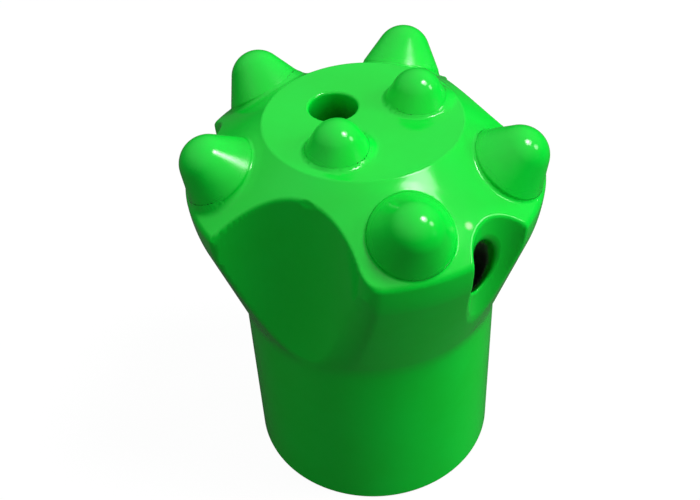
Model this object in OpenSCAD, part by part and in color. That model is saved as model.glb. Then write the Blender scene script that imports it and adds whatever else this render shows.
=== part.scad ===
// Tapered button drill bit for hand-held rock drills.
// One turned and milled steel body carries five gauge buttons and two front buttons of
// tungsten carbide. The bit stands on the end of its skirt, with its axis along Z, and
// the origin lies at the mouth of the tapered socket. Angles are measured about Z from +X.

/* [Skirt and head] */
// Outer diameter of the straight skirt
skirt_d = 30.2; // [29:0.1:31.5]
// Height of the straight skirt
skirt_h = 23.8; // [20:0.1:27]
// Height of the steel body
body_h = 47.9; // [47:0.1:52]
// Diameter of the head, at the foot of its gauge land
head_d = 40; // [38.8:0.1:41]
// Height of the gauge land
land_h = 2; // [1:0.1:4]
// Draft of the gauge land, by which its top is smaller on the radius
land_draft = 0.1; // [0.05:0.01:0.2]
// Diameter of the flat front face
face_d = 21.7; // [20.6:0.1:23]
// Slope of the gauge face, from the horizontal
gauge_slope = 35.5; // [33:0.5:37]
// Radius of the edge between the front face and the gauge face
face_edge_r = 1.5; // [0.5:0.1:3]
// Radius of the edge between the gauge face and the land
rim_edge_r = 0.7; // [0.3:0.1:1.2]
// Radius of the edge between the land and the flare
flare_edge_r = 4; // [1:0.5:6]
// Chamfer on the end of the skirt
skirt_chamfer = 0.3; // [0.2:0.1:1]

/* [Tapered socket] */
// Diameter of the taper at its mouth
socket_d = 23; // [22:0.1:24]
// Included angle of the taper
socket_taper = 7; // [5:0.5:8]
// Depth of the tapered seat
socket_depth = 28.5; // [25:0.5:29.5]
// Height of the water chamber beyond the taper
chamber_h = 3; // [2:0.1:3.5]
// Step from the small end of the taper in to the chamber, on the radius
chamber_step = 0.2; // [0.1:0.05:0.5]
// Point angle of the drill that opened the chamber
drill_point = 118; // [116:1:135]
// Chamfer at the socket's mouth
mouth_chamfer = 0.6; // [0.2:0.1:1]

/* [Gauge buttons] */
// Diameter of a gauge button
gauge_button_d = 9; // [8:0.1:9.2]
// Overall length of a gauge button
gauge_button_l = 11.5; // [10.5:0.1:12]
// Height that a gauge button stands out of the gauge face
gauge_button_out = 4.95; // [4.2:0.05:5.2]
// Distance of a gauge button's middle in from the widest part of the head, at the gauge face
gauge_ring_in = 4.16; // [3.9:0.02:4.6]
// Angle of gauge button 1
gauge_1_angle = -167; // [-169:0.5:-165]
// Angle of gauge button 2
gauge_2_angle = -75.5; // [-77:0.5:-74]
// Angle of gauge button 3
gauge_3_angle = -18; // [-19:0.5:-16]
// Angle of gauge button 4
gauge_4_angle = 71; // [70:0.5:73]
// Angle of gauge button 5
gauge_5_angle = 133.5; // [132:0.5:135]

/* [Front buttons] */
// Diameter of a front button
front_button_d = 7; // [6:0.1:7.2]
// Overall length of a front button
front_button_l = 9.5; // [8.5:0.1:10]
// Height that a front button stands out of the front face
front_button_out = 3.5; // [3:0.1:4]
// Distance of front button 1 from the bit's axis
front_1_r = 6.2; // [5.9:0.1:6.5]
// Angle of front button 1
front_1_angle = -117; // [-120:0.5:-114]
// Distance of front button 2 from the bit's axis
front_2_r = 6.7; // [6.4:0.1:6.8]
// Angle of front button 2
front_2_angle = 26; // [23:0.5:29]

/* [Button shape] */
// Half-angle of the conical flank
flank_angle = 29; // [26:0.5:31]
// Height of the straight shank left standing out of its seat
shank_out = 0.2; // [0.1:0.05:0.5]
// Chamfer on the buried end of a button
button_chamfer = 0.6; // [0.3:0.1:1]
// Clearance between a button and the wall of its seat
seat_gap = 0.02; // [0.01:0.01:0.05]

/* [Wide flutes] */
// Radius of the wide flute between gauge buttons 1 and 2
wide_1_r = 11.8; // [11:0.1:13]
// Lean of that flute, in toward the front face
wide_1_lean = 5.5; // [5:0.1:6]
// Angle by which that flute lies off the middle of its gap
wide_1_turn = 1.5; // [0:0.1:3]
// Radius of the wide flute between gauge buttons 3 and 4
wide_2_r = 13.5; // [13:0.1:14]
// Lean of that flute, in toward the front face
wide_2_lean = 5.4; // [5:0.1:6]
// Angle by which that flute lies off the middle of its gap
wide_2_turn = 1.5; // [1:0.1:2]
// Distance that the floor of a wide flute stands out from the skirt, at the shoulder
wide_floor_step = 0.2; // [0.1:0.05:0.5]

/* [Narrow flutes] */
// Radius of the three narrow flutes
narrow_r = 4.75; // [4.4:0.05:5]
// Lean of a narrow flute, away from the front face
narrow_lean = 1.6; // [0.5:0.1:2]
// Distance that the floor of a narrow flute would stand out from the skirt, at the shoulder
narrow_floor_step = 1.5; // [1.2:0.05:1.8]
// Angle by which a narrow flute lies off the middle of its gap
narrow_turn = -0.6; // [-1:0.1:0]

/* [Flushing holes] */
// Diameter of the front hole
front_hole_d = 5.3; // [4.8:0.1:5.5]
// Distance of the front hole from the bit's axis
front_hole_r = 4; // [3.7:0.1:4.2]
// Angle of the front hole
front_hole_angle = 141; // [138:1:144]
// Chamfer at the front hole's mouth
front_hole_chamfer = 0.3; // [0.1:0.1:0.5]
// Diameter of the side hole
side_hole_d = 4.6; // [4.2:0.1:5]
// Height at which the side hole leaves the floor of its flute
side_hole_z = 37.3; // [36.8:0.1:38]
// Slope of the side hole, from the horizontal
side_hole_slope = 48; // [46:0.5:50]
// Angle by which the side hole lies off the middle of its flute
side_hole_turn = -1; // [-2:0.1:1]

/* [Hidden] */
$fn = 96;
// Length by which a cutter runs past what it cuts
over = 1;
// Largest turn between two points of a rounded edge
arc_step = 9;

skirt_r = skirt_d / 2;
head_r = head_d / 2;
gauge_ring_r = head_r - gauge_ring_in;
face_r = face_d / 2;
rim_r = head_r - land_draft;
land_top = body_h - (rim_r - face_r) * tan(gauge_slope);
land_bottom = land_top - land_h;

socket_end_r = socket_d / 2 - socket_depth * tan(socket_taper / 2);
chamber_r = socket_end_r - chamber_step;
chamber_top = socket_depth + chamber_h;
drill_tip = chamber_top + chamber_r / tan(drill_point / 2);

gauge_at = [gauge_1_angle, gauge_2_angle, gauge_3_angle, gauge_4_angle, gauge_5_angle];
gauge_ring_z = body_h - (gauge_ring_r - face_r) * tan(gauge_slope);
front_place = [[front_1_r, front_1_angle], [front_2_r, front_2_angle]];

// Gap from each gauge button to the next one round, as an angle
gaps = [for (i = [0:len(gauge_at) - 1]) (gauge_at[(i + 1) % len(gauge_at)] - gauge_at[i] + 360) % 360];

// Each flute's radius, floor step, lean toward the front face and turn, gap by gap
wide_1 = [wide_1_r, wide_floor_step, wide_1_lean, wide_1_turn];
wide_2 = [wide_2_r, wide_floor_step, wide_2_lean, wide_2_turn];
narrow = [narrow_r, narrow_floor_step, -narrow_lean, narrow_turn];
flutes = [wide_1, narrow, wide_2, narrow, narrow];
flute_at = [for (i = [0:len(flutes) - 1]) gauge_at[i] + gaps[i] / 2 + flutes[i][3]];

// The side hole opens in the flute between gauge buttons 2 and 3
side_hole_r = skirt_r + narrow_floor_step + (side_hole_z - skirt_h) * tan(narrow_lean);

function unit(v) = v / norm(v);

// Arc of radius r that rounds the outward corner b of the outline a, b, c
function rounded(a, b, c, r) =
    let (
        half = acos(unit(a - b) * unit(c - b)) / 2,
        centre = b + unit(unit(a - b) + unit(c - b)) * r / sin(half),
        first = b + unit(a - b) * r / tan(half) - centre,
        start = atan2(first[1], first[0]),
        turn = 180 - 2 * half,
        steps = ceil(turn / arc_step)
    )
    [for (i = [0:steps]) centre + r * [cos(start + turn * i / steps), sin(start + turn * i / steps)]];

// Half section of the blank: skirt, flare, gauge land, gauge face and front face
module blank_section() {
    shoulder = [skirt_r, skirt_h];
    flare = [head_r, land_bottom];
    rim = [rim_r, land_top];
    face = [face_r, body_h];
    top = [0, body_h];
    polygon(concat(
        [[0, 0], [skirt_r - skirt_chamfer, 0], [skirt_r, skirt_chamfer], shoulder],
        rounded(shoulder, flare, rim, flare_edge_r),
        rounded(flare, rim, face, rim_edge_r),
        rounded(rim, face, top, face_edge_r),
        [top]
    ));
}

// Taper, water chamber and drill point, cut in one from the skirt's end
module socket() {
    mouth_r = socket_d / 2;
    rotate_extrude()
        polygon([
            [0, -over],
            [mouth_r + mouth_chamfer + over, -over],
            [mouth_r - mouth_chamfer * tan(socket_taper / 2), mouth_chamfer],
            [socket_end_r, socket_depth],
            [chamber_r, socket_depth],
            [chamber_r, chamber_top],
            [0, drill_tip]
        ]);
}

// Cutter for the flute in the gap that follows gauge button i
module flute(i) {
    radius = flutes[i][0];
    floor_step = flutes[i][1];
    lean = flutes[i][2];
    rotate([0, 0, flute_at[i]])
        translate([skirt_r + floor_step, 0, skirt_h])
            rotate([0, -lean, 0])
                translate([radius, 0, -body_h / 2])
                    cylinder(h = 2 * body_h, r = radius);
}

// Carries its children to the seat of gauge button i, square to the gauge face
module at_gauge_seat(i) {
    rotate([0, 0, gauge_at[i]])
        translate([gauge_ring_r, 0, gauge_ring_z])
            rotate([0, gauge_slope, 0])
                children();
}

// Carries its children to the seat of front button i
module at_front_seat(i) {
    rotate([0, 0, front_place[i][1]])
        translate([front_place[i][0], 0, body_h])
            children();
}

// Blind hole for a button that stands out of it by out
module seat(d, l, out) {
    translate([0, 0, out - l])
        cylinder(h = l, d = d + 2 * seat_gap);
}

// Conical button with a round nose, lying on its seat, with z = 0 at the steel's face
module button(d, l, out) {
    flank_h = out - shank_out;
    nose_r = (d / 2 - flank_h * tan(flank_angle)) * cos(flank_angle) / (1 - sin(flank_angle));
    nose_z = out - nose_r;
    rotate_extrude()
        intersection() {
            union() {
                polygon([
                    [0, out - l],
                    [d / 2 - button_chamfer, out - l],
                    [d / 2, out - l + button_chamfer],
                    [d / 2, shank_out],
                    [nose_r * cos(flank_angle), nose_z + nose_r * sin(flank_angle)],
                    [0, nose_z + nose_r * sin(flank_angle)]
                ]);
                translate([0, nose_z])
                    circle(nose_r);
            }
            translate([0, out - l])
                square([d, l + over]);
        }
}

// Front hole, straight down into the water chamber, with its mouth chamfered
module front_hole() {
    bore_r = front_hole_d / 2;
    rotate([0, 0, front_hole_angle])
        translate([front_hole_r, 0, 0])
            rotate_extrude()
                polygon([
                    [0, socket_depth],
                    [bore_r, socket_depth],
                    [bore_r, body_h - front_hole_chamfer],
                    [bore_r + front_hole_chamfer + over, body_h + over],
                    [0, body_h + over]
                ]);
}

// Side hole, from the flute's floor down and in to the water chamber
module side_hole() {
    inside = (side_hole_r - chamber_r / 2) / cos(side_hole_slope);
    outside = (head_r - side_hole_r) / cos(side_hole_slope) + side_hole_d;
    rotate([0, 0, flute_at[1] + side_hole_turn])
        translate([side_hole_r, 0, side_hole_z])
            rotate([0, 90 - side_hole_slope, 0])
                translate([0, 0, -inside])
                    cylinder(h = inside + outside, d = side_hole_d);
}

module body() {
    color([0.12, 0.76, 0.27])
        difference() {
            rotate_extrude()
                blank_section();
            socket();
            for (i = [0:len(gauge_at) - 1]) {
                flute(i);
                at_gauge_seat(i)
                    seat(gauge_button_d, gauge_button_l, gauge_button_out);
            }
            for (i = [0:len(front_place) - 1])
                at_front_seat(i)
                    seat(front_button_d, front_button_l, front_button_out);
            front_hole();
            side_hole();
        }
}

module gauge_button(i) {
    color([0.14, 0.8, 0.29])
        at_gauge_seat(i)
            button(gauge_button_d, gauge_button_l, gauge_button_out);
}

module front_button(i) {
    color([0.14, 0.8, 0.29])
        at_front_seat(i)
            button(front_button_d, front_button_l, front_button_out);
}

body();
gauge_button(0);  // gauge_button_1
gauge_button(1);  // gauge_button_2
gauge_button(2);  // gauge_button_3
gauge_button(3);  // gauge_button_4
gauge_button(4);  // gauge_button_5
front_button(0);  // front_button_1
front_button(1);  // front_button_2
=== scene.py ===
# %% [markdown]
# # A button drill bit in glossy green enamel
#
# The bit is a steel body with seven carbide buttons pressed into its head, and it was painted whole.
# What the eye sees is the enamel: one thick, wet-looking film that rounds every edge, fills the corner
# at the foot of each button and flows a little way into the flushing holes.

import bpy
import numpy as np
from mathutils import Matrix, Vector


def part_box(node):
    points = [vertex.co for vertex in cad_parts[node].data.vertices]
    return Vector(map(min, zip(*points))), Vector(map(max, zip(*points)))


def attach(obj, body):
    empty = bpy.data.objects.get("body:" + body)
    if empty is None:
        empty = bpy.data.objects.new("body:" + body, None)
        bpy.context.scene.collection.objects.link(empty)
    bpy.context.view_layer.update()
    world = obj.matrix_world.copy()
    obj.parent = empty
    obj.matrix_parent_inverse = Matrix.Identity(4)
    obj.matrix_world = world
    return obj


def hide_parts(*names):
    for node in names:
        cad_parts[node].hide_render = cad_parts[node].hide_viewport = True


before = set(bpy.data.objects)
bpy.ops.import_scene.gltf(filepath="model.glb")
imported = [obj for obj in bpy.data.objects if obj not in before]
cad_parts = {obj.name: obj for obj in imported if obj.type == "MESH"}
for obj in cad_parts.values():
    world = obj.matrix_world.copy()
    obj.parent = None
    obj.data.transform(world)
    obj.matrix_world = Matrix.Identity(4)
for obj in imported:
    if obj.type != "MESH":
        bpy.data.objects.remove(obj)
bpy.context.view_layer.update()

# %% [markdown]
# ## Sizes
#
# The steel is cut from a turned blank, so a handful of radii and heights describe it. They repeat the
# construction's own sizes, in millimetres. The body's height comes from the frame, and the printed line
# shows whether the sizes fit it.

# %% Sizes of the blank
MM = 0.001
BODY_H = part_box("body")[1][2] / MM
SKIRT_R, SKIRT_H = 15.1, 23.8
HEAD_R, LAND_H, LAND_DRAFT = 20.0, 2.0, 0.1
FACE_R, GAUGE_SLOPE = 10.85, 35.5
RIM_R = HEAD_R - LAND_DRAFT
GAUGE_DROP = np.tan(np.radians(GAUGE_SLOPE))
LAND_TOP = BODY_H - (RIM_R - FACE_R) * GAUGE_DROP
LAND_BOTTOM = LAND_TOP - LAND_H
print("body height", round(BODY_H, 3), "land from", LAND_BOTTOM.round(2), "to", LAND_TOP.round(2))

# %% Places of the buttons and flutes
# Angles of the gauge buttons about the axis. A flute lies halfway between two of them, turned a little.
GAUGE_AT = np.array([-167, -75.5, -18, 71, 133.5])
GAUGE_GAPS = (np.roll(GAUGE_AT, -1) - GAUGE_AT) % 360

# Each flute's radius, how far its floor stands off the skirt, its lean and its turn from halfway
NARROW = (4.75, 1.5, -1.6, -0.6)
FLUTES = np.array([(11.8, 0.2, 5.5, 1.5), NARROW, (13.5, 0.2, 5.4, 1.5), NARROW, NARROW])
FLUTE_R, FLUTE_STEP, FLUTE_LEAN, FLUTE_TURN = FLUTES.T
FLUTE_AT = GAUGE_AT + GAUGE_GAPS / 2 + FLUTE_TURN
print("flutes at", FLUTE_AT.round(1).tolist())

# %% [markdown]
# ## Directions
#
# Every button, flute and hole on such a bit is set by an angle about the axis and a tilt from it, because
# the machine that cuts them turns the blank by one and leans the spindle by the other. A few small
# functions turn those numbers into vectors, and everything below speaks in them.

# %% Directions
UP = np.array([0.0, 0.0, 1.0])


def outward(angle):
    """Unit vector square to the axis, at an angle in degrees about it."""
    turn = np.radians(angle)
    return np.array([np.cos(turn), np.sin(turn), 0.0])


def leaning(angle, tilt):
    """Unit vector that leans outward from straight up by tilt degrees, at an angle about the axis."""
    return outward(angle) * np.sin(np.radians(tilt)) + UP * np.cos(np.radians(tilt))


def spokes(axis, count):
    """Unit vectors square to the axis, count of them evenly round it."""
    side = np.cross([0.3, 1, 0], axis)
    side /= np.linalg.norm(side)
    other = np.cross(axis, side)
    turn = np.linspace(0, 2 * np.pi, count, endpoint=False)
    return np.cos(turn)[:, None] * side + np.sin(turn)[:, None] * other


def on_gauge_face(angle, ring):
    """Point of the gauge face at an angle about the axis, at the radius ring."""
    return outward(angle) * ring + UP * (BODY_H - (ring - FACE_R) * GAUGE_DROP)


print("the gauge face leans toward", leaning(0, GAUGE_SLOPE).round(3).tolist())

# %% [markdown]
# ## The steel's shape as distances
#
# The real blank is turned on a lathe and five flutes are then milled out of it. Rounded edges could be
# bevelled on a mesh, but here flutes, cones and buttons meet at slanting angles, where bevels tangle. So
# each surface is written as a distance, and two of them are joined by a formula that rounds the corner
# between them. The paint's radius is then one number for each edge.

# %% Joining distances
def rounded_and(a, b, radius):
    """Where both solids are: distance to their common part, with the edge rounded to radius."""
    corner = np.hypot(np.maximum(a + radius, 0), np.maximum(b + radius, 0))
    return np.minimum(np.maximum(a, b), -radius) + corner


def rounded_or(a, b, radius):
    """Where either solid is: the same formula on the space outside, so the corner gets a fillet."""
    return -rounded_and(-a, -b, radius)


def to_line(points, origin, axis):
    """Distance from the line through origin along axis, and the height along it."""
    away = points - origin
    along = away @ axis
    return np.sqrt(np.maximum((away * away).sum(-1) - along ** 2, 0)), along


def rise(value, low, high):
    """Smooth step from 0 at low to 1 at high: three times the share squared less twice its cube."""
    share = np.clip((value - low) / (high - low), 0, 1)
    return share * share * (3 - 2 * share)


# A corner rounded to 1 passes 1 - 1 / root 2 inside both sides, so the distance there is 0
inside_both = 0.5 ** 0.5 - 1
print("middle of a rounded corner:", rounded_and(inside_both, inside_both, 1).round(6))

# %% The turned blank
# Radii of the painted edges: flare to skirt, land to flare, front face to gauge face, and skirt end
FLARE_FOOT, LAND_FOOT, FACE_EDGE, SKIRT_EDGE = 0.35, 0.8, 0.08, 0.4


def turned_side(points):
    """Land, flare and skirt of the blank, each a straight line in the section; also the land alone."""
    r = np.hypot(points[..., 0], points[..., 1])
    z = points[..., 2]
    draft = np.arctan2(LAND_DRAFT, LAND_H)
    flare = np.arctan2(HEAD_R - SKIRT_R, LAND_BOTTOM - SKIRT_H)
    land = (r - HEAD_R) * np.cos(draft) + (z - LAND_BOTTOM) * np.sin(draft)
    cone = (r - SKIRT_R) * np.cos(flare) - (z - SKIRT_H) * np.sin(flare)
    return rounded_and(land, rounded_or(cone, r - SKIRT_R, FLARE_FOOT), LAND_FOOT), land


def turned_top(points):
    """Front face, a plane, and gauge face, a cone, with the crisp edge between them."""
    slope = np.radians(GAUGE_SLOPE)
    r = np.hypot(points[..., 0], points[..., 1])
    z = points[..., 2]
    gauge_face = (r - FACE_R) * np.sin(slope) + (z - BODY_H) * np.cos(slope)
    return rounded_and(z - BODY_H, gauge_face, FACE_EDGE)


beside_skirt = np.array([SKIRT_R + 1, 0, SKIRT_H / 2])
print("1 mm beside the skirt the side's distance is", turned_side(beside_skirt)[0].round(3))

# %% The flutes
# Radii of the flutes' edges: the plain one, what the blunt long edge has more, and the one at the land
FLUTE_EDGE, BLUNT, LAND_EDGE = 0.24, 1.65, 0.45
BLUNT_FROM, BLUNT_TO = 1, 6
LAND_FROM, LAND_TO = -0.7, -0.1


def flute_cutter(number):
    """Centre, axis and radius of the leaning cylinder that mills a flute. Its floor passes the skirt's
    top at the flute's step."""
    out = outward(FLUTE_AT[number])
    axis = leaning(FLUTE_AT[number], -FLUTE_LEAN[number])
    across = np.cross(np.cross(axis, out), axis)
    across /= np.linalg.norm(across)
    floor_point = out * (SKIRT_R + FLUTE_STEP[number]) + UP * SKIRT_H
    return floor_point + across * FLUTE_R[number], axis, FLUTE_R[number]


def fluted(points):
    """The blank less its five flutes. The side and its flutes come first and the top after them, so
    that the top's edges stay crisp while the first flute's long edge beside the second gauge button
    is blunt."""
    shape, land = turned_side(points)
    for number in range(len(FLUTES)):
        centre, axis, radius = flute_cutter(number)
        edge = FLUTE_EDGE
        if number == 0:
            across = (points - centre) @ np.cross(UP, outward(FLUTE_AT[0]))
            edge = FLUTE_EDGE + BLUNT * rise(across, BLUNT_FROM, BLUNT_TO)
        shape = rounded_and(shape, radius - to_line(points, centre, axis)[0], edge)
    lip = FLUTE_EDGE + (LAND_EDGE - FLUTE_EDGE) * rise(land, LAND_FROM, LAND_TO)
    return rounded_and(rounded_and(shape, turned_top(points), lip), -points[..., 2], SKIRT_EDGE)


for number in range(len(FLUTES)):
    print("flute", number, "cutter's centre", flute_cutter(number)[0].round(2).tolist())

# %% [markdown]
# ## A nick and a speck
#
# Paint keeps small faults: the edge of the first flute has a nick where it crosses the gauge face, and a
# small paint nib on that face catches the key lamp. The nick changes the outline of the edge, so it is a
# shallow ball cut from the shape. The nib is too small for that, so its glint is a painted highlight: a
# pale spot in the paint's colour.

# %% Nick and speck
# The nick: its angle about the axis, the ball's radius, the depth, the lean of the ball's centre from
# straight up, and the radius of the paint on its edge. The speck, a painted highlight: its angle, its ring
# and its radius.
NICK_AT, NICK_R, NICK_DEEP, NICK_TILT, NICK_EDGE = -118.5, 3.2, 0.15, 78, 0.05
SPECK_AT, SPECK_RING, SPECK_R = -54.0, 16.75, 0.36
SPECK = on_gauge_face(SPECK_AT, SPECK_RING)


def nick_centre():
    """Centre of the ball that makes the nick. It stands off the spot where the first flute's floor
    crosses the gauge face, which is the nearest of many points down that face."""
    down_the_face = on_gauge_face(NICK_AT, np.linspace(FACE_R, HEAD_R, 2000)[:, None])
    centre, axis, radius = flute_cutter(0)
    off_floor = np.abs(to_line(down_the_face, centre, axis)[0] - radius)
    return down_the_face[np.argmin(off_floor)] + leaning(NICK_AT, NICK_TILT) * (NICK_R - NICK_DEEP)


NICK = nick_centre()
print("nick's ball at", NICK.round(2).tolist(), "speck at", SPECK.round(2).tolist())

# %% [markdown]
# ## Buttons and the paint at their feet
#
# The buttons are tungsten carbide, pressed into blind seats: a shank, a conical flank and a round nose.
# Wet enamel creeps into the corner at each foot and sags to one side before it dries. The fillet's radius
# therefore changes around the foot, and one formula gives it at any point.

# %% A button
# The flank's angle from the axis, how far the shank shows, the chamfer of the hidden end, and how far
# below its foot a button still shapes the paint
FLANK, SHANK_OUT, CHAMFER, CUT_BELOW = np.radians(29), 0.2, 0.6, 1.0

# Extra rows of points keep the shading crisp by the edges: a gap, and shares of the way down the flank
ROW_GAP, FLANK_ROWS = 0.15, [0.9, 0.97, 1.0]

# The paint pools where a direction from the foot agrees with the pool's side by more than POOL_EDGE. That
# agreement fades to nothing within about SOFT_MIDDLE of the button's axis.
POOL_EDGE, SOFT_MIDDLE = 0.45, 0.5


class Button:
    """A conical button with a round nose: where it sits, how far it stands out, and its paint fillet."""

    def __init__(self, node, foot, axis, sizes, fillet):
        self.node, self.foot, self.axis = node, foot, axis
        self.width, self.length, self.out = sizes
        self.thin, self.pooled, self.pool_side = fillet
        self.nose = ((self.width / 2 - (self.out - SHANK_OUT) * np.tan(FLANK))
                     * np.cos(FLANK) / (1 - np.sin(FLANK)))

    def distance(self, points):
        """The nose is a ball on a cone; outside the cone's tangent ring the cone's flank counts."""
        rho, height = to_line(points, self.foot, self.axis)
        over_nose = height - (self.out - self.nose)
        ball = np.hypot(rho, over_nose) - self.nose
        cone = (rho - self.width / 2) * np.cos(FLANK) + (height - SHANK_OUT) * np.sin(FLANK)
        on_nose = over_nose * np.cos(FLANK) > rho * np.sin(FLANK)
        shape = np.maximum(np.where(on_nose, ball, cone), rho - self.width / 2)
        return np.maximum(shape, -CUT_BELOW - height)

    def fillet_at(self, points):
        """Radius of the paint fillet: thin all round, and more where the wet paint pooled."""
        away = points - self.foot
        away = away - (away @ self.axis)[..., None] * self.axis
        toward = away @ outward(self.pool_side) / (np.linalg.norm(away, axis=-1) + SOFT_MIDDLE)
        return self.thin + (self.pooled - self.thin) * rise(toward, POOL_EDGE, 1.0)

    def profile(self, grow=0.0, steps=40):
        """Radius and height from the nose's tip down the flank and shank to the chamfered end."""
        nose = self.nose + grow
        turn = np.linspace(0, np.pi / 2 - FLANK, steps)
        tip = np.column_stack([nose * np.sin(turn), self.out - self.nose + nose * np.cos(turn)])
        wide, deep = self.width / 2 + grow, self.out - self.length - grow
        down = np.array(FLANK_ROWS)[:, None]
        flank = tip[-1] + (np.array([wide, SHANK_OUT]) - tip[-1]) * down
        end = np.array([[wide, SHANK_OUT - ROW_GAP], [wide, deep + CHAMFER + ROW_GAP],
                        [wide, deep + CHAMFER], [wide - CHAMFER, deep],
                        [wide - CHAMFER - ROW_GAP, deep], [0, deep]])
        return np.vstack([tip, flank, end])


print("a flank stands", np.degrees(FLANK).round(1), "degrees from its button's axis")

# %% The seven buttons
# Sizes: width, whole length, and how far it stands out of its face
GAUGE_SIZES, GAUGE_RING = (9.0, 11.5, 4.95), 15.84
FRONT_SIZES, FRONT_PLACES = (7.0, 9.5, 3.5), ((6.2, -117), (6.7, 26))

# Each fillet: thinnest radius, radius where the paint pooled, and the angle on which it pooled
GAUGE_FILLETS = ((0.35, 1.0, -110), (0.3, 0.3, 0), (0.35, 0.35, 0), (0.35, 0.5, 180), (0.5, 1.2, 0))
FRONT_FILLETS = ((0.45, 0.9, 15), (0.45, 1.1, 0))

BUTTONS = []
for number, (angle, fillet) in enumerate(zip(GAUGE_AT, GAUGE_FILLETS), 1):
    foot, axis = on_gauge_face(angle, GAUGE_RING), leaning(angle, GAUGE_SLOPE)
    BUTTONS.append(Button(f"gauge_button_{number}", foot, axis, GAUGE_SIZES, fillet))
for number, ((ring, angle), fillet) in enumerate(zip(FRONT_PLACES, FRONT_FILLETS), 1):
    foot = outward(angle) * ring + UP * BODY_H
    BUTTONS.append(Button(f"front_button_{number}", foot, UP, FRONT_SIZES, fillet))
for button in BUTTONS:
    print(button.node, "foot at", button.foot.round(2).tolist(), "nose radius", button.nose.round(2))


# %% The painted outside
def enamelled(points):
    """The fluted body with the nick and the paint fillets that rise along the buttons."""
    shape = fluted(points)
    shape = rounded_and(shape, NICK_R - np.linalg.norm(points - NICK, axis=-1), NICK_EDGE)
    for button in BUTTONS:
        shape = rounded_or(shape, button.distance(points), button.fillet_at(points))
    return shape


print("paint 1 mm over the front face:", enamelled(np.array([[0, 0, BODY_H + 1]])).round(3).tolist())

# %% [markdown]
# ## The enamel skin
#
# From a point near the middle of the axis, every spot of the painted outside can be seen. So the skin is a
# grid of rays from that point, and each ray's length is found by halving. A remeshed volume would need
# far more faces for the same edges. Here rows and columns are packed where the edges are, so they stay
# crisp.

# %% Columns and rows
# Half of each flute's width in degrees, how much denser the columns are inside the narrow ones, and how
# far the dense rows reach to both sides of the front face's edge and up from the skirt's end
COLUMNS, ROWS = 456, 186
NARROW_HALF, WIDE_HALF, NARROW_PACKING = 13, (24, 27), 1.9
BY_EDGE, SKIRT_END = 0.25, 1.2


def spaced(stops, packing, count):
    """count places from the first stop to the last, packed in proportion to each stretch's packing."""
    cumulative = np.concatenate([[0], np.cumsum(np.diff(stops) * packing)])
    return np.interp(np.linspace(0, cumulative[-1], count), cumulative, stops)


flute_half = np.full(len(FLUTES), NARROW_HALF)
flute_half[[0, 2]] = WIDE_HALF
edges = np.sort(np.concatenate([FLUTE_AT - flute_half, FLUTE_AT + flute_half]) % 360)
stops = np.concatenate([[0], edges, [360]])
middle = (stops[:-1] + stops[1:]) / 2
off_flute = np.abs((middle[:, None] - FLUTE_AT + 180) % 360 - 180)
in_narrow = ((off_flute < flute_half) & (flute_half == NARROW_HALF)).any(1)
angles = np.radians(spaced(stops, np.where(in_narrow, NARROW_PACKING, 1.0), COLUMNS + 1)[:-1])

# rows go down the blank's sharp section, each stretch with its packing
section = np.array([[0, BODY_H], [FACE_R - BY_EDGE, BODY_H], [FACE_R, BODY_H],
                    [FACE_R + BY_EDGE, BODY_H - BY_EDGE * GAUGE_DROP], [RIM_R, LAND_TOP],
                    [HEAD_R, LAND_BOTTOM], [SKIRT_R, SKIRT_H], [SKIRT_R, SKIRT_END], [SKIRT_R, 0]])
packing = np.array([2.7, 14, 14, 5.0, 5.6, 3.3, 0.55, 5.0])
along = np.concatenate([[0], np.cumsum(np.linalg.norm(np.diff(section, axis=0), axis=1))])
places = spaced(along, packing, ROWS)[1:]
ring_r = np.interp(places, along, section[:, 0])
ring_z = np.interp(places, along, section[:, 1])
print("columns", len(angles), "rows", len(places))

# %% Rays to the skin
HEART = np.array([0, 0, 21.9])
NEAREST, FARTHEST, HALVINGS = 8.0, 40.0, 26


def wrapped(r, z):
    """Grid of points: each radius and height of an outline, carried round the axis."""
    across = np.stack([r[:, None] * np.cos(angles), r[:, None] * np.sin(angles)], axis=-1)
    return np.concatenate([across, np.broadcast_to(z[:, None, None], across.shape[:2] + (1,))], axis=-1)


def reach(rays, shape):
    """Distance from the heart to the surface along each ray, by halving the bracket that holds it."""
    near = np.full(rays.shape[:-1], NEAREST)
    far = np.full(rays.shape[:-1], FARTHEST)
    for _ in range(HALVINGS):
        half = (near + far) / 2
        inside = shape(HEART + rays * half[..., None]) < 0
        near, far = np.where(inside, half, near), np.where(inside, far, half)
    return (near + far) / 2


rays = wrapped(ring_r, ring_z - HEART[2])
rays /= np.linalg.norm(rays, axis=-1, keepdims=True)
skin = HEART + rays * reach(rays, enamelled)[..., None]
widest = np.hypot(skin[..., 0], skin[..., 1]).max()
print("skin's highest point", skin[..., 2].max().round(2), "largest radius", widest.round(2))

# %% [markdown]
# ## The socket
#
# The rod's tapered end wedges into a bored taper, with a small chamber and the drill's point above it. It
# is a turned shape, so its outline continues the skin's own columns, and the body stays one closed mesh.

# %% Socket
SOCKET_R, SOCKET_DEPTH, CHAMBER_H, CHAMBER_STEP = 11.5, 28.5, 3.0, 0.2
TAPER = np.tan(np.radians(3.5))
DRILL_POINT = np.tan(np.radians(59))
END_FLAT, MOUTH_CHAMFER = 1.2, 0.6


def rounded_corner(a, b, c, radius, steps=3):
    """Arc of the given radius that rounds the corner b of the outline a, b, c."""
    u, v = (a - b) / np.linalg.norm(a - b), (c - b) / np.linalg.norm(c - b)
    half = np.arccos(u @ v) / 2
    centre = b + (u + v) / np.linalg.norm(u + v) * radius / np.sin(half)
    first, last = b + u * radius / np.tan(half) - centre, b + v * radius / np.tan(half) - centre
    share = np.linspace(0, 1, steps + 1)[:, None]
    arc = first * (1 - share) + last * share
    return centre + arc / np.linalg.norm(arc, axis=1, keepdims=True) * radius


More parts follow.
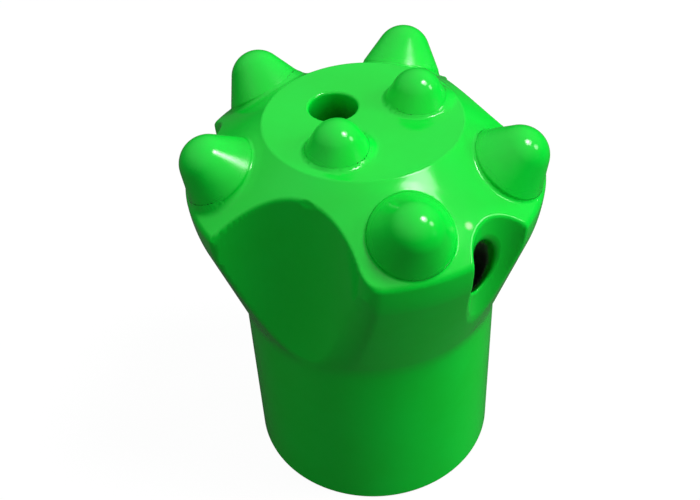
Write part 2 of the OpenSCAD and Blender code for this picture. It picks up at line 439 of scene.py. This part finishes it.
socket_end = SOCKET_R - SOCKET_DEPTH * TAPER
chamber = socket_end - CHAMBER_STEP
tip_z = SOCKET_DEPTH + CHAMBER_H + chamber / DRILL_POINT
corners = np.array([[SKIRT_R - END_FLAT, 0], [SOCKET_R + MOUTH_CHAMFER, 0],
                    [SOCKET_R - MOUTH_CHAMFER * TAPER, MOUTH_CHAMFER], [socket_end, SOCKET_DEPTH],
                    [chamber, SOCKET_DEPTH], [chamber, SOCKET_DEPTH + CHAMBER_H], [0, tip_z]])
corner_r = [0.25, 0.25, 0.08, 0.08, 0.4]
arcs = [rounded_corner(*corners[i:i + 3], radius) for i, radius in enumerate(corner_r)]

# a few rows just inside the mouth carry the ragged end of the paint
mouth_rows = corners[2] + (corners[3] - corners[2]) * np.array([[0.04], [0.09], [0.18]])
outline = np.vstack([corners[:1], arcs[0], arcs[1], mouth_rows] + arcs[2:])
inside_wall = wrapped(outline[:, 0], outline[:, 1])
print("socket's small end", (2 * socket_end).round(2), "across, drill's tip at", tip_z.round(2))

# %% [markdown]
# ## From points to closed meshes
#
# Every piece here is rows of points that wrap round the axis, with a pole at each end. One function turns
# such rows into a mesh, and one turns a profile about a slanting axis. Both close the ends, so that no
# seam or open rim shows from any side.

# %% Closed grids
def closed_mesh(name, rows, first, last):
    """Closed grid: rows of columns that wrap round, with a pole before the first and after the last."""
    count, columns = rows.shape[:2]
    points = np.vstack([[first], rows.reshape(-1, 3), [last]]) * MM
    column = np.arange(columns)
    after = (column + 1) % columns
    row = np.arange(count - 1)[:, None] * columns + 1
    quads = np.stack([row + column, row + columns + column, row + columns + after, row + after], -1)
    top = np.column_stack([np.zeros(columns, int), column + 1, after + 1])
    base = (count - 1) * columns + 1
    bottom = np.column_stack([np.full(columns, len(points) - 1), base + after, base + column])
    loops = np.concatenate([quads.ravel(), top.ravel(), bottom.ravel()])
    sizes = np.concatenate([np.full(quads[..., 0].size, 4), np.full(2 * columns, 3)])
    mesh = bpy.data.meshes.new(name)
    mesh.vertices.add(len(points))
    mesh.vertices.foreach_set("co", points.ravel())
    mesh.loops.add(len(loops))
    mesh.loops.foreach_set("vertex_index", loops)
    mesh.polygons.add(len(sizes))
    mesh.polygons.foreach_set("loop_start", np.concatenate([[0], np.cumsum(sizes)[:-1]]))
    mesh.update(calc_edges=True)
    mesh.validate()
    mesh.shade_smooth()
    piece = bpy.data.objects.new(name, mesh)
    bpy.context.scene.collection.objects.link(piece)
    return piece


body = closed_mesh("enamelled_body", np.concatenate([skin, inside_wall]), [0, 0, BODY_H], [0, 0, tip_z])
print("body before cutting:", len(body.data.polygons), "faces")

# %% Turned pieces
AROUND_BUTTON = 192


def turned(name, profile, foot, axis):
    """A profile of radius and height turned about the axis through foot."""
    spoke = spokes(axis, AROUND_BUTTON)
    between = profile[1:-1]
    rows = foot + between[:, None, :1] * spoke + between[:, None, 1:] * axis
    return closed_mesh(name, rows, foot + axis * profile[0, 1], foot + axis * profile[-1, 1])


button_pieces = [turned(b.node + "_enamel", b.profile(), b.foot, b.axis) for b in BUTTONS]
print("button pieces:", [piece.name for piece in button_pieces])

# %% [markdown]
# ## Flushing holes and seats
#
# Water leaves through a hole in the front face and one in the second flute. The drill breaks through at a
# slant, and paint rounds the lip, so the lip follows the face all round. The cutter carries that bend
# itself: its wall turns outward just where it meets the face. The seats are cut a little wider than their
# buttons, as in the construction.

# %% Hole cutters
FRONT_HOLE_AT, FRONT_HOLE_RING = 141, 4
FRONT_HOLE_R, FRONT_HOLE_DEPTH, FRONT_LIP = 2.65, 14, 0.45
SIDE_HOLE_Z, SIDE_HOLE_SLOPE, SIDE_HOLE_TURN = 37.3, 48, -1
SIDE_HOLE_R, SIDE_HOLE_DEPTH, SIDE_LIP = 2.3, 12, 0.6

# Points round a cutter and along its bend, and shares of the way down its wall
AROUND_HOLE, BEND_STEPS, WALL_ROWS = 96, 9, [0.06, 0.14, 0.25, 0.45, 1.0]

# The bend ends OVER_FACE above the face. From there the cutter widens by FLARE_OUT over a height of
# FLARE_UP and then closes to its top, so that only the bend touches the face.
OVER_FACE, FLARE_OUT, FLARE_UP, TOP_UP = 0.012, 0.3, 1.2, 8


def bore_cutter(name, foot, axis, radius, depth, lip, mouth):
    """Bore whose mouth flares out: for each turn about the axis, a curve of three points, one down
    the wall, one at the sharp mouth and one out on the face, bends the wall over into the face."""
    spoke = spokes(axis, AROUND_HOLE)

    def on_face(off_axis):
        """Points of the face at one distance from the axis all round."""
        start = foot + spoke * off_axis
        return start + mouth(start, axis)[:, None] * axis

    sharp, out = on_face(radius), on_face(radius + lip) + OVER_FACE * axis
    wall = sharp - lip * axis
    share = np.linspace(0, 1, BEND_STEPS)[:, None, None]
    bend = wall * (1 - share) ** 2 + 2 * sharp * share * (1 - share) + out * share ** 2
    deep = foot + spoke * radius - depth * axis
    high = out + spoke * FLARE_OUT + FLARE_UP * axis
    top = foot + spoke * radius + (TOP_UP + radius) * axis
    down = wall + (deep - wall) * np.array(WALL_ROWS)[:, None, None]
    rows = np.stack([top, high, *bend[::-1], *down])
    return closed_mesh(name, rows, foot + (TOP_UP + radius) * axis, foot - depth * axis)


def to_front_face(start, axis):
    """How far along axis each start point lies from the plane of the front face."""
    return (BODY_H - start[:, 2]) / axis[2]


def to_side_flute(start, axis):
    """How far along axis each start point lies from the floor of the flute that the side hole is in:
    the near root of the quadratic for a line through a cylinder."""
    centre, line, radius = flute_cutter(1)
    away, step = start - centre, axis - (axis @ line) * line
    away = away - (away @ line)[:, None] * line
    a, b, c = step @ step, away @ step, (away ** 2).sum(1) - radius ** 2
    return (-b - np.sqrt(b * b - a * c)) / a


side_at = FLUTE_AT[1] + SIDE_HOLE_TURN
side_ring = SKIRT_R + FLUTE_STEP[1] - (SIDE_HOLE_Z - SKIRT_H) * np.tan(np.radians(FLUTE_LEAN[1]))
side_foot = outward(side_at) * side_ring + UP * SIDE_HOLE_Z
side_axis = leaning(side_at, 90 - SIDE_HOLE_SLOPE)
front_foot = outward(FRONT_HOLE_AT) * FRONT_HOLE_RING + UP * BODY_H
front_hole = bore_cutter("front_hole", front_foot, UP, FRONT_HOLE_R, FRONT_HOLE_DEPTH, FRONT_LIP,
                         to_front_face)
side_hole = bore_cutter("side_hole", side_foot, side_axis, SIDE_HOLE_R, SIDE_HOLE_DEPTH, SIDE_LIP,
                        to_side_flute)
print("side hole's mouth at", side_foot.round(2).tolist(), "sloping", SIDE_HOLE_SLOPE, "degrees")

# %% Cutting the holes and seats
SEAT_GAP = 0.02


def cut(piece, cutters):
    """Takes the cutters out of the piece, and removes them."""
    for cutter in cutters:
        step = piece.modifiers.new("cut", "BOOLEAN")
        step.operation, step.solver, step.object = "DIFFERENCE", "MANIFOLD", cutter
    evaluated = piece.evaluated_get(bpy.context.evaluated_depsgraph_get())
    carved = bpy.data.meshes.new_from_object(evaluated)
    piece.modifiers.clear()
    piece.data = carved
    carved.name = piece.name
    for cutter in cutters:
        bpy.data.objects.remove(cutter)


seats = [turned(b.node + "_seat", b.profile(SEAT_GAP), b.foot, b.axis) for b in BUTTONS]
cut(body, [front_hole, side_hole] + seats)
faces, face_corners = len(body.data.polygons), len(body.data.loops)
print("body after cutting:", faces, "faces,", face_corners - 2 * faces, "triangles")

# %% [markdown]
# ## Exact normals
#
# Cutting leaves long thin faces beside the holes and seats, and their averaged normals would show as
# streaks in a glossy film. The distance formula knows the true slope of the skin at any point, so the
# skin's points get that slope as their normal, and only the walls of holes and seats keep their own.

# %% Exact normals
# How far to both sides a slope is measured, and how far off the skin a point may lie to count as on it:
# anywhere, and beside a seat
SLOPE_STEP, ON_SKIN, ON_SKIN_AT_SEAT = 0.004, 0.006, 0.12


def points_of(piece):
    """All points of a piece, in millimetres."""
    points = np.empty(len(piece.data.vertices) * 3, np.float32)
    piece.data.vertices.foreach_get("co", points)
    return points.reshape(-1, 3).astype(float) / MM


def slope_of(points, shape):
    """Outward unit normals of shape's surface, from how its value changes to both sides."""
    change = [shape(points + SLOPE_STEP * d) - shape(points - SLOPE_STEP * d) for d in np.eye(3)]
    change = np.stack(change, -1)
    return change / np.linalg.norm(change, axis=1, keepdims=True)


def true_normals(piece, shape):
    """Gives the points that lie on shape's surface its exact normals, and leaves the others as they are."""
    mesh = piece.data
    points = points_of(piece)
    normals = np.empty(points.size, np.float32)
    mesh.vertex_normals.foreach_get("vector", normals)
    normals = normals.reshape(-1, 3)
    at_seat = np.min([np.abs(b.distance(points)) for b in BUTTONS], axis=0) < 3 * SEAT_GAP
    on_skin = np.abs(shape(points)) < np.where(at_seat, ON_SKIN_AT_SEAT, ON_SKIN)
    normals[on_skin] = slope_of(points[on_skin], shape)
    mesh.normals_split_custom_set_from_vertices(normals)
    print(piece.name, "points on the skin:", on_skin.sum(), "of", len(points))


true_normals(body, enamelled)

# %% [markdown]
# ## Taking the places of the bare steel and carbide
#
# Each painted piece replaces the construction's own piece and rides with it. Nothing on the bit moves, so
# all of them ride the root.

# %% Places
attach(body, "root")
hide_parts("body")
for button, piece in zip(BUTTONS, button_pieces):
    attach(piece, "root")
    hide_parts(button.node)
print("painted pieces:", 1 + len(button_pieces))

# %% [markdown]
# ## Where the paint thins and is shaded, pools and shows the steel's marks
#
# A spray gun doesn't reach far into a narrow hole, and the deeper a spot lies in a hole, the darker green
# it is painted, as painted shade. Wet paint gathers at the feet of the buttons, and the flutes show their
# milling through the film. Each is measured from the shapes and stored in the points, because a texture
# alone can't know how deep a spot lies.

# %% Masks in the points
# How deep the paint reaches, in millimetres: front hole, side hole and socket. These depths also set the
# painted shade in the holes: the green darkens with depth, and in the side hole dark bare steel begins just
# inside the mouth.
FRONT_REACH, SIDE_REACH, SOCKET_REACH = 8.0, 1.6, 2.5

# Depth is stored as a share of that reach, and this is the most that is stored
MOST_RECESS_DEPTH = 1.5

# A point belongs to a hole when it lies near its axis, and for the front hole above the socket too
NEAR_HOLE, ABOVE_SOCKET = 3.6, 34

# Distances from a flute's floor and from a button at which its mark fades, and the heights on a button:
# the lower in millimetres, the upper as a share of what stands out
MILLED_WITHIN = 0.05
POOL_FROM, POOL_TO = 0.2, 1.3
FOOT_FROM, FOOT_TO = 0.4, 0.75


def keep(piece, name, values):
    """Stores one number per point in the mesh, where the material can read it."""
    layer = piece.data.attributes.new(name, "FLOAT", "POINT")
    layer.data.foreach_set("value", values.astype(np.float32))
    print(piece.name, name, "from", values.min().round(2), "to", values.max().round(2))


points = points_of(body)
near_front = (to_line(points, front_foot, UP)[0] < NEAR_HOLE) & (points[:, 2] > ABOVE_SOCKET)
near_side = to_line(points, side_foot, side_axis)[0] < NEAR_HOLE
reach_of_paint_and_shade = np.where(near_front, FRONT_REACH, np.where(near_side, SIDE_REACH, SOCKET_REACH))
# Painted shade as well as the paint's end: the stored depth darkens the green inside the holes
keep(body, "recess_depth", np.clip(-enamelled(points) / reach_of_paint_and_shade, 0, MOST_RECESS_DEPTH))

off_floors = []
for number in range(len(FLUTES)):
    centre, axis, radius = flute_cutter(number)
    off_floors.append(np.abs(to_line(points, centre, axis)[0] - radius))
keep(body, "milled", np.clip(1 - np.min(off_floors, axis=0) / MILLED_WITHIN, 0, 1))

to_button = np.min([b.distance(points) for b in BUTTONS], axis=0)
keep(body, "pooled", 1 - rise(to_button, POOL_FROM, POOL_TO))
for button, piece in zip(BUTTONS, button_pieces):
    height = to_line(points_of(piece), button.foot, button.axis)[1]
    keep(piece, "pooled", 1 - rise(height, FOOT_FROM, FOOT_TO * button.out))
# The speck is a painted highlight: a pale spot where a paint nib catches the key lamp
keep(body, "speck", 1 - rise(np.linalg.norm(points - SPECK, axis=-1), 0.5 * SPECK_R, 1.5 * SPECK_R))

# %% [markdown]
# ## The enamel film
#
# Steel and carbide carry the same paint, so the film is one group that both materials use. Its colour
# drifts a little with its thickness, its gloss is uneven, and it has orange peel: a fine ripple over a
# slow swell. Where the paint pooled at a foot, it is duller and ripples more. A plain colour would look
# like plastic, since the ripple is what breaks up the highlights.

# %% Helpers for materials
def calculate(tree, operation, first, second):
    """One Math node on two values, each a link or a plain number."""
    node = tree.nodes.new("ShaderNodeMath")
    node.operation = operation
    for slot, value in zip(node.inputs, (first, second)):
        if isinstance(value, (int, float)):
            slot.default_value = value
        else:
            tree.links.new(value, slot)
    return node.outputs[0]


def plus(tree, first, second):
    """The sum of two values."""
    return calculate(tree, "ADD", first, second)


def times(tree, first, second):
    """The product of two values."""
    return calculate(tree, "MULTIPLY", first, second)


def noise(tree, vector, scale, detail, rough=0.5):
    """Noise on the given coordinates: scale is in waves per metre."""
    node = tree.nodes.new("ShaderNodeTexNoise")
    node.inputs["Scale"].default_value = scale
    node.inputs["Detail"].default_value = detail
    node.inputs["Roughness"].default_value = rough
    tree.links.new(vector, node.inputs["Vector"])
    return node.outputs["Fac"]


def spread(tree, value, low, high, bottom, top):
    """Smooth rise from bottom to top as value goes from low to high."""
    node = tree.nodes.new("ShaderNodeMapRange")
    node.interpolation_type = "SMOOTHSTEP"
    for name, number in (("From Min", low), ("From Max", high), ("To Min", bottom), ("To Max", top)):
        node.inputs[name].default_value = number
    tree.links.new(value, node.inputs["Value"])
    return node.outputs[0]


def blend(tree, share, first, second):
    """Mixes two colours by share, each a link or a plain colour."""
    node = tree.nodes.new("ShaderNodeMix")
    node.data_type = "RGBA"
    tree.links.new(share, node.inputs["Factor"])
    for slot, value in ((node.inputs["A"], first), (node.inputs["B"], second)):
        if isinstance(value, tuple):
            slot.default_value = value
        else:
            tree.links.new(value, slot)
    return node.outputs["Result"]


def stored(tree, name):
    """The mask of that name that is stored in the piece's points."""
    node = tree.nodes.new("ShaderNodeAttribute")
    node.attribute_name = name
    return node.outputs["Fac"]


def place(tree):
    """Where a spot lies on the object, in metres."""
    return tree.nodes.new("ShaderNodeTexCoord").outputs["Object"]


# %% The film as a group
# Waves per metre: colour and gloss drift over about a centimetre, and orange peel is a ripple of about
# 2 mm on a swell of about 8 mm that is SWELL_HEIGHT times as high
DRIFT, RIPPLE, SWELL, SWELL_HEIGHT = 110, 450, 130, 3.0
GLOSS_DRIFT = 0.03

# The drift's noise seldom leaves this range
LOW, HIGH = 0.3, 0.7

film = bpy.data.node_groups.new("enamel_film", "ShaderNodeTree")
for name, kind in (("Full", "Color"), ("Light", "Color"), ("Sheen", "Float"), ("Peel size", "Float"),
                   ("Pool dulling", "Float"), ("Pool ripple", "Float")):
    film.interface.new_socket(name, in_out="INPUT", socket_type=f"NodeSocket{kind}")
for name, kind in (("Colour", "Color"), ("Roughness", "Float"), ("Peel", "Float")):
    film.interface.new_socket(name, in_out="OUTPUT", socket_type=f"NodeSocket{kind}")
given = film.nodes.new("NodeGroupInput").outputs
result = film.nodes.new("NodeGroupOutput").inputs
here, pooled = place(film), stored(film, "pooled")

# colour and gloss
drift = noise(film, here, DRIFT, 3, 0.6)
thickness = spread(film, drift, LOW, HIGH, 0, 1)
film.links.new(blend(film, thickness, given["Full"], given["Light"]), result["Colour"])
uneven = plus(film, given["Sheen"], spread(film, drift, LOW, HIGH, -GLOSS_DRIFT, GLOSS_DRIFT))
film.links.new(plus(film, uneven, times(film, pooled, given["Pool dulling"])), result["Roughness"])

# orange peel, as a height in metres
peel = plus(film, noise(film, here, RIPPLE, 1), times(film, noise(film, here, SWELL, 0), SWELL_HEIGHT))
peel = times(film, peel, given["Peel size"])
more = plus(film, times(film, pooled, given["Pool ripple"]), 1.0)
film.links.new(times(film, peel, more), result["Peel"])
print("film's values:", [item.name for item in film.interface.items_tree])

# %% [markdown]
# ## A glossy painted material
#
# Both materials start alike: paint with an index of refraction of 1.5, a bump that reads heights in
# metres, and the film with its own values. The group only puts out colours, values and heights, so the
# shader itself stays in the material.

# %% Start of a painted material
GREEN = (0.001, 0.76, 0.036, 1)
LIGHT_GREEN = (0.001, 0.79, 0.044, 1)
SHEEN = 0.12


def painted(name, peel_size, pool_dulling, pool_ripple):
    """New material with the film in it: its node tree, its shader, its bump and the film's outputs."""
    material = bpy.data.materials.new(name)
    material.use_nodes = True
    tree = material.node_tree
    shader = tree.nodes["Principled BSDF"].inputs
    shader["IOR"].default_value = 1.5
    relief = tree.nodes.new("ShaderNodeBump")
    relief.inputs["Strength"].default_value = 1
    relief.inputs["Distance"].default_value = 1
    tree.links.new(relief.outputs["Normal"], shader["Normal"])
    coat = tree.nodes.new("ShaderNodeGroup")
    coat.node_tree = film
    for socket, value in (("Full", GREEN), ("Light", LIGHT_GREEN), ("Sheen", SHEEN),
                          ("Peel size", peel_size), ("Pool dulling", pool_dulling),
                          ("Pool ripple", pool_ripple)):
        coat.inputs[socket].default_value = value
    print(name, "has a peel of", round(peel_size * 1e6, 1), "micrometres")
    return material, tree, shader, relief.inputs, coat.outputs


# %% [markdown]
# ## Painted steel
#
# On the body the film turns a darker green down into the holes, which is painted shade as well as thinner
# paint, and ends in a ragged edge, with turned bare steel beyond. Faint milling passes run along the
# flutes.
# The film at the buttons' feet is thicker and ripples more, and a pale spot on the gauge face is a painted
# highlight, where a small paint nib catches the key lamp.

# %% Painted steel: colour
# Depth, as a share of the reach, at which the darker green of thin paint and painted shade is full, and
# between which the paint ends, and how ragged that end is
THIN_AND_SHADED_AT, ENDS_FROM, ENDS_AT, RAGGED, RAGGED_WAVES = 0.4, 0.6, 1.1, 0.3, 900
# Darker green deep in the holes, for thinner paint and painted shade
SHADED_THIN_GREEN = (0.001, 0.36, 0.012, 1)
STEEL = (0.30, 0.29, 0.27, 1)
# Pale green of the speck, a painted highlight
PAINTED_GLINT = (0.50, 0.92, 0.42, 1)
painted_steel, tree, shader, relief, coat = painted(
    "painted_steel", peel_size=0.000012, pool_dulling=0.03, pool_ripple=2.0)
here, recess_depth = place(tree), stored(tree, "recess_depth")
ragged = times(tree, noise(tree, here, RAGGED_WAVES, 3), RAGGED)
bare = spread(tree, plus(tree, recess_depth, ragged), ENDS_FROM, ENDS_AT, 0, 1)
# The green darkens with depth in a hole: painted shade as well as thinner paint
thin_and_shaded = spread(tree, recess_depth, 0.0, THIN_AND_SHADED_AT, 0, 1)
colour = blend(tree, thin_and_shaded, coat["Colour"], SHADED_THIN_GREEN)
# Painted highlight: the speck's pale spot
colour = blend(tree, stored(tree, "speck"), colour, PAINTED_GLINT)
tree.links.new(blend(tree, bare, colour, STEEL), shader["Base Color"])
tree.links.new(bare, shader["Metallic"])

# %% Painted steel: turned marks and milling passes
# Scale and wander of the turned marks, roughness of the bare steel and what the marks add to it, waves
# of the milling passes and how much they are drawn out along the axis, and both heights in metres
MARKS, MARKS_WANDER = 800, 1.5
STEEL_SHEEN, MARKS_SHEEN = 0.35, 0.12
PASSES, DRAWN_OUT = 900, 0.06
MARKS_HEIGHT, PASSES_HEIGHT = 0.00001, 0.000018

marks = tree.nodes.new("ShaderNodeTexWave")
marks.bands_direction = "Z"
marks.inputs["Scale"].default_value = MARKS
marks.inputs["Distortion"].default_value = MARKS_WANDER
tree.links.new(here, marks.inputs["Vector"])
turned_marks = marks.outputs["Fac"]
steel_sheen = plus(tree, times(tree, turned_marks, MARKS_SHEEN), STEEL_SHEEN)
paint_sheen = times(tree, calculate(tree, "SUBTRACT", 1.0, bare), coat["Roughness"])
tree.links.new(plus(tree, times(tree, bare, steel_sheen), paint_sheen), shader["Roughness"])

drawn_out = tree.nodes.new("ShaderNodeMapping")
drawn_out.inputs["Scale"].default_value = (1, 1, DRAWN_OUT)
tree.links.new(here, drawn_out.inputs["Vector"])
passes = times(tree, noise(tree, drawn_out.outputs["Vector"], PASSES, 2), stored(tree, "milled"))
height = plus(tree, coat["Peel"], times(tree, passes, PASSES_HEIGHT))
height = plus(tree, height, times(tree, times(tree, bare, turned_marks), MARKS_HEIGHT))
tree.links.new(height, relief["Height"])
print("painted steel has", len(tree.nodes), "nodes")

# %% [markdown]
# ## Painted carbide
#
# The buttons are ground smooth, so the film has no marks to show through. It is sharp on the nose and
# wavier and duller toward the foot, where the gun hits the flank at a slant.

# %% Painted carbide
painted_carbide, tree, shader, relief, coat = painted(
    "painted_carbide", peel_size=0.000014, pool_dulling=0.16, pool_ripple=3.0)
tree.links.new(coat["Colour"], shader["Base Color"])
tree.links.new(coat["Roughness"], shader["Roughness"])
tree.links.new(coat["Peel"], relief["Height"])

for piece in [body] + button_pieces:
    piece.data.materials.clear()
    piece.data.materials.append(painted_steel if piece is body else painted_carbide)
    print(piece.name, "is", piece.data.materials[0].name)

# %% [markdown]
# ## Camera
#
# The bit stands on a table and is seen from 42 degrees above, with a slight roll. Fall, roll, place and
# lens were fitted together so that the round edges of skirt, head and front face line up.

# %% Camera
FALL, ROLL, LENS = np.radians(42.4621), np.radians(-3.2011), 54.10
EYE = np.array([-2.135, -92.17, 113.28])
scene = bpy.context.scene


def looking(right, up, back, eye):
    """Matrix of a camera or lamp: its right, its up, the way opposite to its view, and its place."""
    return Matrix([[*row] for row in zip(right, up, back, eye)] + [[0, 0, 0, 1]])


view = np.array([0, np.cos(FALL), -np.sin(FALL)])
level = np.array([1, 0, 0])
over = np.cross(level, view)
view_right = level * np.cos(ROLL) + over * np.sin(ROLL)
view_up = over * np.cos(ROLL) - level * np.sin(ROLL)
camera = bpy.data.objects.new("camera", bpy.data.cameras.new("camera"))
camera.data.lens = LENS
camera.data.clip_start = 0.005
camera.matrix_world = looking(view_right, view_up, -view, EYE * MM)
scene.collection.objects.link(camera)
scene.camera = camera
scene.view_settings.view_transform = "Standard"
print("camera", np.linalg.norm(EYE).round(1), "mm from the skirt's centre")

# %% [markdown]
# ## Light
#
# A glossy part shows its lamps, so they are placed by their reflections. The spots on the round noses and
# the pale patch on the gauge face agree on one soft lamp high on the right with a brighter core, and a
# smaller one lower down. The rest light the sides softly and stay out of the reflections.

# %% Lamps
# Each lamp: name, angle about the axis, angle above the head, distance and width in metres, watts,
# and whether it shows in reflections
LAMPS = (("key", -5, 64.5, 0.6, 0.115, 0.62, True),
         ("soft", -6, 62, 0.62, 0.235, 1.25, True),
         ("low", -8, 34, 0.6, 0.15, 0.38, True),
         ("side", -20, 8, 0.9, 0.24, 2.1, False),
         ("right", 30, 7, 0.9, 0.2, 2.25, False),
         ("back", 100, 62, 0.9, 0.45, 0.5, False),
         ("left", -180, 42, 0.9, 0.45, 0.62, False))

# The spot in the head that all of them look at, in metres
AIM = np.array([0, 0, 0.035])


def lamp(name, angle, above, distance, width, watts, reflected):
    """Round area lamp that looks at the head."""
    data = bpy.data.lights.new(name, "AREA")
    data.shape, data.size, data.energy = "DISK", width, watts
    toward = leaning(angle, 90 - above)
    side = np.cross(UP, toward)
    side /= np.linalg.norm(side)
    light = bpy.data.objects.new(name, data)
    light.matrix_world = looking(side, np.cross(toward, side), toward, AIM + toward * distance)
    light.visible_glossy = reflected
    scene.collection.objects.link(light)


for values in LAMPS:
    lamp(*values)
print(len(LAMPS), "lamps,", sum(values[-1] for values in LAMPS), "of them in the reflections")

# %% [markdown]
# ## Floor and world
#
# The bit stands on a plain pale floor in a plain pale room. To the camera both are white. In reflections
# they are toned, dark below and bright above, because a deep green gloss reflects a dim table, and a white
# one would wash the colour out. No light reaches the floor inside the socket, so it stays dark there.

# %% What a ray sees
def ray_is(tree, *kinds):
    """1 for rays of these kinds, and 0 for the others."""
    path = tree.nodes.new("ShaderNodeLightPath").outputs
    found = path[f"Is {kinds[0]} Ray"]
    for kind in kinds[1:]:
        found = calculate(tree, "MAXIMUM", found, path[f"Is {kind} Ray"])
    return found


def shown_or_lit(tree, output, lit, shown):
    """Camera, glossy and transmission rays meet the shader shown, and the others the shader lit."""
    choose = tree.nodes.new("ShaderNodeMixShader")
    tree.links.new(ray_is(tree, "Camera", "Glossy", "Transmission"), choose.inputs[0])
    tree.links.new(lit, choose.inputs[1])
    tree.links.new(shown, choose.inputs[2])
    tree.links.new(choose.outputs[0], tree.nodes.new(output).inputs[0])


def emptied(block):
    """Node tree of a material or world, with nothing in it."""
    block.use_nodes = True
    block.node_tree.nodes.clear()
    return block.node_tree


# %% Floor
# Half its width in metres, its grey, how bright it is in reflections and to the camera, and how far
# inside the skirt's outside it stops glowing
FLOOR_HALF, FLOOR_GREY, FLOOR_REFLECTED, FLOOR_SEEN = 3, 0.06, 0.015, 0.96
UNDER_SKIRT = 1

floor_mesh = bpy.data.meshes.new("floor")
floor_corners = [(x * FLOOR_HALF, y * FLOOR_HALF, 0) for x, y in ((-1, -1), (1, -1), (1, 1), (-1, 1))]
floor_mesh.from_pydata(floor_corners, [], [(0, 1, 2, 3)])
floor = bpy.data.objects.new("floor", floor_mesh)
scene.collection.objects.link(floor)

ground = bpy.data.materials.new("pale_floor")
tree = emptied(ground)
dull = tree.nodes.new("ShaderNodeBsdfDiffuse")
dull.inputs["Color"].default_value = (FLOOR_GREY, FLOOR_GREY, FLOOR_GREY, 1)
off_axis = tree.nodes.new("ShaderNodeVectorMath")
off_axis.operation = "LENGTH"
tree.links.new(place(tree), off_axis.inputs[0])
past_skirt = calculate(tree, "GREATER_THAN", off_axis.outputs["Value"], (SKIRT_R - UNDER_SKIRT) * MM)
seen = spread(tree, ray_is(tree, "Camera", "Transmission"), 0, 1, FLOOR_REFLECTED, FLOOR_SEEN)
glow = tree.nodes.new("ShaderNodeEmission")
tree.links.new(times(tree, seen, past_skirt), glow.inputs["Strength"])
total = tree.nodes.new("ShaderNodeAddShader")
tree.links.new(glow.outputs[0], total.inputs[0])
tree.links.new(dull.outputs[0], total.inputs[1])
shown_or_lit(tree, "ShaderNodeOutputMaterial", dull.outputs[0], total.outputs[0])
floor_mesh.materials.append(ground)
print("floor", 2 * FLOOR_HALF, "metres wide")

# %% World
# The light that the room gives, and in reflections the heights at which its tone changes from the
# table's to the ceiling's
ROOM = 0.32
HORIZON, ZENITH, TABLE_TONE, CEILING_TONE = -0.1, 1.0, 0.04, 0.75
world = bpy.data.worlds.new("studio")
scene.world = world
tree = emptied(world)
room = tree.nodes.new("ShaderNodeBackground")
room.inputs["Color"].default_value = (1, 1, 1, 1)
room.inputs["Strength"].default_value = ROOM
white = tree.nodes.new("ShaderNodeBackground")
white.inputs["Color"].default_value = (1, 1, 1, 1)
where = tree.nodes.new("ShaderNodeSeparateXYZ")
tree.links.new(tree.nodes.new("ShaderNodeTexCoord").outputs["Generated"], where.inputs[0])
ceiling = spread(tree, where.outputs["Z"], HORIZON, ZENITH, TABLE_TONE, CEILING_TONE)
strength = calculate(tree, "MAXIMUM", ceiling, ray_is(tree, "Camera", "Transmission"))
tree.links.new(strength, white.inputs["Strength"])
shown_or_lit(tree, "ShaderNodeOutputWorld", room.outputs[0], white.outputs[0])
print("room lights at", ROOM, "and its ceiling is reflected at", CEILING_TONE)
